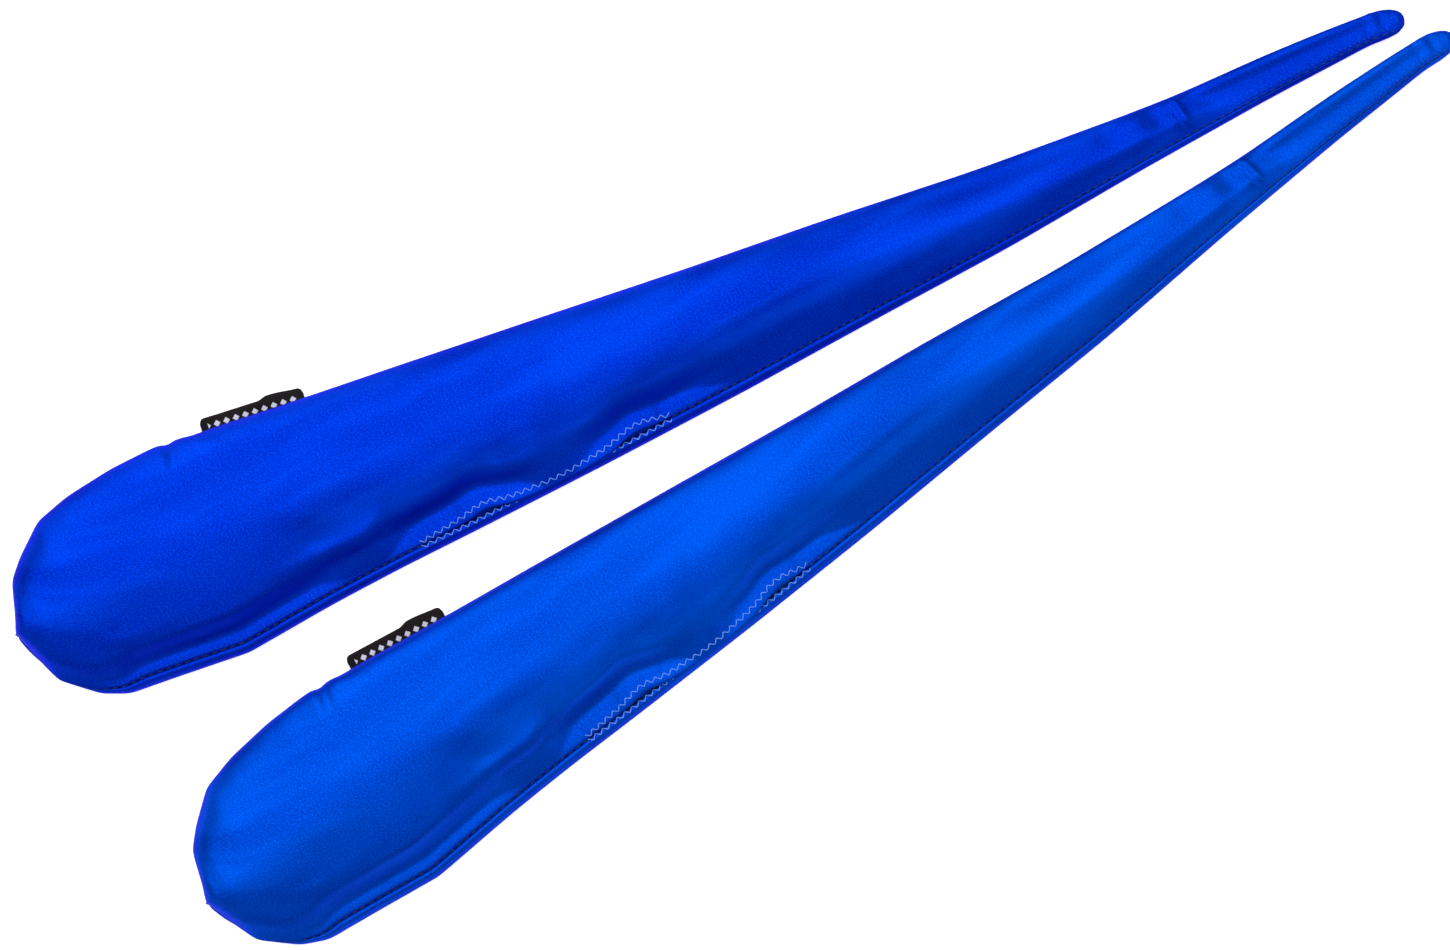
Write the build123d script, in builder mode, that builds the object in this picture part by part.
"""Pair of sock poi: two long tapered stretch-satin sleeves, each with a soft disc weight in its wide head.

Each sleeve is a front and a back panel, sewn together along a slit side and a label side. The slit in
the slit-side seam lets the weight in and out. A folded woven label is caught in the label-side seam. The thin
tail folds over at a crease, where it is knotted or looped round a finger.

Sleeve frame: x runs from the head's end to the tail's tip, y points to the label side, z is up, and the
sleeve lies on z = 0. The pair's frame has its origin at the bottom centre of the pair's box, and +X runs
from the heads to the tips, midway between the two sleeves.
"""

import os
from math import acos, cos, degrees, hypot, radians, sin

from build123d import *

os.makedirs("parts", exist_ok=True)

# ---- Driving dimensions, in millimetres and degrees ----

LENGTH = 700.0  # head's end to tail's tip
CREASE_X = 588.0  # where the tail folds
CREASE_GAP = 0.8  # between the sleeve's end and the tail's start
CLOTH = 0.8  # satin face and its knitted back

# x, slit-side edge, label-side edge and height of the sleeve, with the edges measured from its axis.
OUTLINE = [
    (0, 11, 5, 6),
    (4, 18, 14, 9),
    (12, 31, 27, 14),
    (23, 41.5, 38, 19),
    (35, 47, 44.5, 22.5),
    (60, 50, 49.5, 26),
    (93, 52, 51.5, 28),
    (140, 47.8, 47, 27),
    (210, 43.8, 40.7, 25.5),
    (280, 40, 34.2, 23.5),
    (350, 35.5, 27.5, 20),
    (420, 29.7, 21.8, 16),
    (490, 24.4, 14.8, 12.5),
    (560, 16.8, 10.1, 9.5),
    (588, 14.2, 8.8, 8.6),
    (630, 10.4, 8.7, 8),
    (679, 7, 7, 7.6),
    (690, 7.1, 6.9, 7.6),
    (697, 6.5, 4.5, 6.2),
    (700, 4.5, 2.5, 5),
]
EDGE_HEIGHT_SHARE = 0.36  # height of the widest point, as a share of the sleeve's height
ROLL_SHARE = 0.24  # width of each rolled edge, as a share of the half width
ROLL_MAX = 9.0
STATION_GAP = 2.0  # least run between a piece's end and its next cross-section
SOLE_TRIM = 0.3  # the underside is made this much low, then trimmed flat on z = 0

SEAM_INSET = 5.0  # slit-side seam, in from the slit-side edge
SEAM_INSET_SHARE = 0.2  # its limit, as a share of the half width
SLIT_START, SLIT_END = 210.0, 300.0
SLIT_GAPE = 9.0  # width of the open slit at its middle
HEM_WIDTH = 6.0
LIP_STEP = 0.2  # the hem's fold sits this far behind the cut lip
BACK_HEM_SHARE = 0.75  # width of the back lip's hem, as a share of the seam's inset
SEAM_STEP = 15.0  # between the cross-sections of a hem
ZIGZAG_START, ZIGZAG_END = 187.0, 317.0
ZIGZAG_PITCH = 4.2
ZIGZAG_SWING = 0.8  # each side of the row's line
ZIGZAG_MARGIN = 3.0  # from the lip to the row
STITCH_PITCH = 4.4
STITCH_LENGTH = 2.8
THREAD = 0.5
THREAD_SINK = 0.125  # how far the middle of a zigzag thread lies under the cloth's skin
OVERLOCK_WIDTH = 4.0
OVERLOCK_THICKNESS = 1.6  # two cut edges and the thread that binds them
SEAM_START, SEAM_END = 14.0, 694.0

LABEL_CENTRE_X = 140.0
LABEL_WIDTH = 50.0
LABEL_OUT = 6.5  # beyond the sleeve's edge
LABEL_TUCK = 4.0  # under the rolled edge
LABEL_TAPE = 0.35
LABEL_FOLD = 0.9  # both layers and the gap between them
LABEL_TURN = -6.5  # follows the label-side edge
LABEL_CORNER = 2.0

WEIGHT_X = 50.0
WEIGHT_RADIUS = 30.0
WEIGHT_THICKNESS = 18.0
WEIGHT_COVER = 0.9
WEIGHT_CLEARANCE = 0.4  # over the back panel
WEIGHT_ROUNDING = 8.0

HALF_SPREAD = 5.41  # angle of each sleeve's axis to the pair's
MIDDLE_ALONG = 7.7  # of each sleeve's middle, behind or ahead of the pair's centre
MIDDLE_ASIDE = 42.4  # of each sleeve's middle, to its side of the pair's axis
CENTRE_SHIFT = (0.31, -0.31)  # brings the pair's box onto the origin


# ---- The sleeve's shape ----


def outline(x, column):
    """The outline's value at x, column 1, 2 or 3, in a straight run from one of its points to the next."""
    end = next((i for i, row in enumerate(OUTLINE) if row[0] >= x and i > 0), len(OUTLINE) - 1)
    (x0, y0), (x1, y1) = ((OUTLINE[i][0], OUTLINE[i][column]) for i in (end - 1, end))
    return y0 + (y1 - y0) * (x - x0) / (x1 - x0)


class Section:
    """The sleeve's cross-section at x: half an ellipse on top and a quarter of one at each rolled edge."""

    def __init__(self, x):
        self.x = x
        slit_edge, label_edge = outline(x, 1), outline(x, 2)
        self.half_width = (slit_edge + label_edge) / 2
        self.middle = (label_edge - slit_edge) / 2
        self.edge_height = EDGE_HEIGHT_SHARE * outline(x, 3)
        self.crown_rise = outline(x, 3) - self.edge_height
        self.roll = min(ROLL_MAX, ROLL_SHARE * self.half_width)
        self.seam_inset = min(SEAM_INSET, SEAM_INSET_SHARE * self.half_width)
        self.flat = self.half_width - self.roll

    def crown_angle(self, inset):
        """Angle on the crown's ellipse at that inset from the slit-side edge."""
        return 180 - degrees(acos(1 - inset / self.half_width))

    def crown_point(self, inset, depth=0.0):
        """Point on the crown, or below it by depth."""
        angle = radians(self.crown_angle(inset))
        return Vector(
            self.x,
            self.middle + (self.half_width - depth) * cos(angle),
            self.edge_height + (self.crown_rise - depth) * sin(angle),
        )

    def crown_arc(self, depth, start, size):
        """Arc of the crown's ellipse, below the skin by depth."""
        return EllipticalCenterArc(
            (self.middle, self.edge_height),
            self.half_width - depth,
            self.crown_rise - depth,
            start_angle=start,
            arc_size=size,
        )

    def roll_arc(self, side, depth, drop, size):
        """Quarter ellipse from a side's widest point down to the underside; side is -1 for the slit side."""
        return EllipticalCenterArc(
            (self.middle + side * self.flat, self.edge_height),
            self.roll - depth,
            self.edge_height + drop,
            start_angle=180 if side < 0 else 0,
            arc_size=size,
        )


def slit_gape(x):
    """Width of the slit at x, which is widest in its middle."""
    across = (2 * x - SLIT_START - SLIT_END) / (SLIT_END - SLIT_START)
    return SLIT_GAPE * max(0.0, 1 - across * across)


def front_profile(x):
    """The front panel's cut cloth: from the slit-side seam, over the crown, round the label-side edge."""
    s = Section(x)
    seam = s.crown_angle(s.seam_inset)
    with BuildSketch(Plane.YZ.offset(x)) as profile:
        with BuildLine():
            crown = s.crown_arc(0, 0, seam)
            lining = s.crown_arc(CLOTH, 0, seam)
            roll = s.roll_arc(1, 0, SOLE_TRIM, -90)
            roll_lining = s.roll_arc(1, CLOTH, -CLOTH, -90)
            Line(crown @ 1, lining @ 1)
            Line(roll @ 1, roll_lining @ 1)
        make_face()
    return profile.sketch


def back_profile(x):
    """The back panel's cut cloth: from the slit-side seam, round the slit-side edge, and under the sleeve."""
    s = Section(x)
    seam = s.crown_angle(s.seam_inset)
    with BuildSketch(Plane.YZ.offset(x)) as profile:
        with BuildLine():
            crown = s.crown_arc(0, seam, 180 - seam)
            lining = s.crown_arc(CLOTH, seam, 180 - seam)
            s.roll_arc(-1, 0, SOLE_TRIM, 90)
            s.roll_arc(-1, CLOTH, -CLOTH, 90)
            sole = Line((s.middle - s.flat, -SOLE_TRIM), (s.middle + s.flat, -SOLE_TRIM))
            sole_lining = Line((s.middle - s.flat, CLOTH), (s.middle + s.flat, CLOTH))
            Line(crown @ 0, lining @ 0)
            Line(sole @ 1, sole_lining @ 1)
        make_face()
    return profile.sketch


def crown_strip_profile(x, start_inset, end_inset, depth, thickness):
    """A strip under the crown's skin, between two insets from the slit-side edge."""
    s = Section(x)
    start, end = s.crown_angle(start_inset), s.crown_angle(end_inset)
    with BuildSketch(Plane.YZ.offset(x)) as profile:
        with BuildLine():
            outer = s.crown_arc(depth, end, start - end)
            inner = s.crown_arc(depth + thickness, end, start - end)
            Line(outer @ 0, inner @ 0)
            Line(outer @ 1, inner @ 1)
        make_face()
    return profile.sketch


def sole_strip_profile(x):
    """The bound seam edges inside the label-side seam, flat on the back panel."""
    s = Section(x)
    width = min(OVERLOCK_WIDTH, s.flat)
    with BuildSketch(Plane.YZ.offset(x)) as profile:
        with Locations((s.middle + s.flat - width / 2, CLOTH + OVERLOCK_THICKNESS / 2)):
            Rectangle(width, OVERLOCK_THICKNESS)
    return profile.sketch


def end_wall_profile(x, above):
    """The sleeve's outline at one of its ends, above or below the chord between its two seams."""
    s = Section(x)
    seam = s.crown_angle(s.seam_inset)
    with BuildSketch(Plane.YZ.offset(x)) as profile:
        with BuildLine():
            if above:
                crown = s.crown_arc(0, 0, seam)
                roll = s.roll_arc(1, 0, SOLE_TRIM, -90)
                Line(crown @ 1, roll @ 1)
            else:
                crown = s.crown_arc(0, seam, 180 - seam)
                s.roll_arc(-1, 0, SOLE_TRIM, 90)
                sole = Line((s.middle - s.flat, -SOLE_TRIM), (s.middle + s.flat, -SOLE_TRIM))
                Line(crown @ 0, sole @ 1)
        make_face()
    return profile.sketch


def stations(start, end):
    """Places along x where a sleeve piece gets a cross-section: its ends and the outline's points between."""
    inside = [row[0] for row in OUTLINE if start + STATION_GAP < row[0] < end - STATION_GAP]
    return [start, *inside, end]


def even_steps(start, end, step):
    """Evenly spaced places from start to end, about a step apart."""
    count = max(2, round((end - start) / step))
    return [start + (end - start) * i / count for i in range(count + 1)]


SLEEVE_END = CREASE_X - CREASE_GAP / 2
TAIL_START = CREASE_X + CREASE_GAP / 2

# ---- Sleeve, from the head to the crease ----

with BuildPart() as front_panel:
    loft([front_profile(x) for x in stations(0, SLEEVE_END)], ruled=True)
    extrude(end_wall_profile(0, above=True), amount=CLOTH)
    split(bisect_by=Plane.XY, keep=Keep.TOP)
    lip = [Section(x).crown_point(Section(x).seam_inset) for x in (SLIT_START, SLIT_END)]
    middle_x = (SLIT_START + SLIT_END) / 2
    middle = Section(middle_x).crown_point(Section(middle_x).seam_inset + SLIT_GAPE)
    with BuildSketch(Plane.XY) as slit:
        with BuildLine():
            ThreePointArc((lip[0].X, lip[0].Y), (middle.X, middle.Y), (lip[1].X, lip[1].Y))
            Polyline(
                (lip[0].X, lip[0].Y),
                (lip[0].X, lip[0].Y - SEAM_INSET),
                (lip[1].X, lip[1].Y - SEAM_INSET),
                (lip[1].X, lip[1].Y),
            )
        make_face()
    extrude(amount=LENGTH, mode=Mode.SUBTRACT)

with BuildPart() as back_panel:
    loft([back_profile(x) for x in stations(0, SLEEVE_END)], ruled=True)
    extrude(end_wall_profile(0, above=False), amount=CLOTH)
    split(bisect_by=Plane.XY, keep=Keep.TOP)

# ---- Tail, from the crease to the tip ----

with BuildPart() as front_panel_tail:
    loft([front_profile(x) for x in stations(TAIL_START, LENGTH)], ruled=True)
    extrude(end_wall_profile(LENGTH, above=True), amount=-CLOTH)
    split(bisect_by=Plane.XY, keep=Keep.TOP)

with BuildPart() as back_panel_tail:
    loft([back_profile(x) for x in stations(TAIL_START, LENGTH)], ruled=True)
    extrude(end_wall_profile(LENGTH, above=False), amount=-CLOTH)
    split(bisect_by=Plane.XY, keep=Keep.TOP)

# ---- Slit: turned-in hems and the zigzag rows that hold them ----


def hem_profile(x, start_inset, end_inset):
    """The turned-in cloth under a lip of the slit."""
    return crown_strip_profile(x, start_inset, end_inset, CLOTH, CLOTH)


hem_stations = even_steps(SLIT_START, SLIT_END, SEAM_STEP)

with BuildPart() as front_slit_hem:
    lips = [(x, Section(x).seam_inset + slit_gape(x)) for x in hem_stations]
    loft([hem_profile(x, lip + LIP_STEP, lip + HEM_WIDTH) for x, lip in lips], ruled=True)

with BuildPart() as back_slit_hem:
    lips = [(x, Section(x).seam_inset) for x in hem_stations]
    loft([hem_profile(x, lip * (1 - BACK_HEM_SHARE), lip) for x, lip in lips], ruled=True)


def between(start, end):
    """Plane at the middle of two points, with its x along the line from one to the other."""
    run = end - start
    return Plane(origin=(start + end) / 2, x_dir=run, z_dir=run.cross(Vector(0, 1, 0)))


def zigzag_row(lip_inset):
    """Places of a zigzag row's legs, which cross from one side of its line to the other every half pitch."""
    corners = []
    for i, x in enumerate(even_steps(ZIGZAG_START, ZIGZAG_END, ZIGZAG_PITCH / 2)):
        swing = ZIGZAG_SWING if i % 2 else -ZIGZAG_SWING
        corners.append(Section(x).crown_point(lip_inset(x) + swing, THREAD_SINK))
    return [between(start, end) for start, end in zip(corners, corners[1:])]


leg = hypot(ZIGZAG_PITCH / 2, 2 * ZIGZAG_SWING) - THREAD

with BuildPart() as front_slit_zigzag:
    with Locations(*zigzag_row(lambda x: Section(x).seam_inset + slit_gape(x) + ZIGZAG_MARGIN)):
        Box(leg, THREAD, THREAD)

with BuildPart() as back_slit_zigzag:
    with Locations(*zigzag_row(lambda x: Section(x).seam_inset / 2)):
        Box(leg, THREAD, THREAD)

# ---- Seams: the stitches in each seam, and the bound edges inside ----


def slit_side_seam(x):
    """Point on the slit-side seam, in the middle of the cloth's thickness."""
    s = Section(x)
    return s.crown_point(s.seam_inset, CLOTH / 2)


def label_side_seam(x):
    """Point on the label-side seam, in the middle of the cloth's thickness."""
    s = Section(x)
    return Vector(x, s.middle + s.flat, CLOTH / 2)


def stitches(seam, start, end):
    """Places of the stitches along a seam."""
    half = STITCH_LENGTH / 2
    centres = even_steps(start + half, end - half, STITCH_PITCH)
    return [between(seam(x - half), seam(x + half)) for x in centres]


def crown_overlock(start, end):
    """The bound cut edges inside the slit-side seam."""
    strips = []
    for x in stations(start, end):
        s = Section(x)
        width = min(OVERLOCK_WIDTH, s.half_width / 2)
        strips.append(
            crown_strip_profile(x, s.seam_inset, s.seam_inset + width, CLOTH, OVERLOCK_THICKNESS)
        )
    loft(strips, ruled=True)


with BuildPart() as slit_side_thread:
    before_slit = stitches(slit_side_seam, SEAM_START, ZIGZAG_START)
    after_slit = stitches(slit_side_seam, ZIGZAG_END, SLEEVE_END)
    with Locations(*before_slit, *after_slit):
        Box(STITCH_LENGTH, THREAD, THREAD)

with BuildPart() as label_side_thread:
    with Locations(*stitches(label_side_seam, SEAM_START, SLEEVE_END)):
        Box(STITCH_LENGTH, THREAD, THREAD)

with BuildPart() as tail_thread:
    slit_side = stitches(slit_side_seam, TAIL_START, SEAM_END)
    label_side = stitches(label_side_seam, TAIL_START, SEAM_END)
    with Locations(*slit_side, *label_side):
        Box(STITCH_LENGTH, THREAD, THREAD)

with BuildPart() as slit_side_overlock:
    crown_overlock(SEAM_START, SLIT_START - HEM_WIDTH)
    crown_overlock(SLIT_END + HEM_WIDTH, SLEEVE_END)

with BuildPart() as label_side_overlock:
    loft([sole_strip_profile(x) for x in stations(SEAM_START, SLEEVE_END)], ruled=True)

with BuildPart() as tail_overlock:
    crown_overlock(TAIL_START, SEAM_END)

# ---- Label: a strip of woven tape, folded in half, with its ends in the seam ----

label_edge = outline(LABEL_CENTRE_X, 2)
label_plane = Plane(
    origin=(LABEL_CENTRE_X, label_edge, 0),
    x_dir=(cos(radians(LABEL_TURN)), sin(radians(LABEL_TURN)), 0),
    z_dir=(0, 0, 1),
)

with BuildPart() as label:
    with BuildSketch(label_plane):
        with Locations((0, (LABEL_OUT - LABEL_TUCK) / 2)):
            Rectangle(LABEL_WIDTH, LABEL_OUT + LABEL_TUCK)
    extrude(amount=LABEL_FOLD)
    fillet(label.edges().filter_by(Axis.Z).sort_by(Axis.Y)[-2:], radius=LABEL_CORNER)
    with BuildSketch(label_plane.offset(LABEL_TAPE)):
        with Locations((0, (LABEL_OUT - LABEL_TUCK) / 2 - LABEL_CORNER)):
            Rectangle(LABEL_WIDTH + LABEL_CORNER, LABEL_OUT + LABEL_TUCK)
    extrude(amount=LABEL_FOLD - 2 * LABEL_TAPE, mode=Mode.SUBTRACT)

# ---- Weight: a round flat bag, two covers sewn together round its rim and filled with pellets ----

weight_middle = CLOTH + WEIGHT_CLEARANCE + WEIGHT_THICKNESS / 2
rim_plane = Plane((WEIGHT_X, 0, weight_middle))

with BuildPart() as weight_top_cover:
    with BuildSketch(rim_plane):
        Circle(WEIGHT_RADIUS)
    extrude(amount=WEIGHT_THICKNESS / 2)
    fillet(weight_top_cover.edges().sort_by(Axis.Z)[-1], radius=WEIGHT_ROUNDING)
    offset(amount=-WEIGHT_COVER, openings=weight_top_cover.faces().sort_by(Axis.Z)[0])

with BuildPart() as weight_bottom_cover:
    mirror(weight_top_cover.part, about=rim_plane)

with BuildPart() as weight_fill:
    with BuildSketch(rim_plane):
        Circle(WEIGHT_RADIUS - 2 * WEIGHT_COVER)
    extrude(amount=WEIGHT_THICKNESS / 2 - 2 * WEIGHT_COVER, both=True)
    fillet(weight_fill.edges().filter_by(GeomType.CIRCLE), radius=WEIGHT_ROUNDING - 2 * WEIGHT_COVER)

with BuildPart() as weight_thread:
    with BuildSketch(rim_plane.offset(-THREAD / 2)):
        Circle(WEIGHT_RADIUS + THREAD)
        Circle(WEIGHT_RADIUS, mode=Mode.SUBTRACT)
    extrude(amount=THREAD)

# ---- The pair ----

PIECES = {
    "front_panel": front_panel,
    "back_panel": back_panel,
    "front_panel_tail": front_panel_tail,
    "back_panel_tail": back_panel_tail,
    "front_slit_hem": front_slit_hem,
    "back_slit_hem": back_slit_hem,
    "front_slit_zigzag": front_slit_zigzag,
    "back_slit_zigzag": back_slit_zigzag,
    "slit_side_thread": slit_side_thread,
    "label_side_thread": label_side_thread,
    "tail_thread": tail_thread,
    "slit_side_overlock": slit_side_overlock,
    "label_side_overlock": label_side_overlock,
    "tail_overlock": tail_overlock,
    "label": label,
    "weight_top_cover": weight_top_cover,
    "weight_bottom_cover": weight_bottom_cover,
    "weight_fill": weight_fill,
    "weight_thread": weight_thread,
}

for side, sign in (("left", 1), ("right", -1)):
    middle = Location(
        (CENTRE_SHIFT[0] - sign * MIDDLE_ALONG, CENTRE_SHIFT[1] + sign * MIDDLE_ASIDE, 0),
        (0, 0, -sign * HALF_SPREAD),
    )
    place = middle * Location((-LENGTH / 2, 0, 0))
    for name, piece in PIECES.items():
        placed = piece.part.moved(place)
        placed.label = f"{side}_{name}"
        export_step(placed, f"parts/{side}_{name}.step")
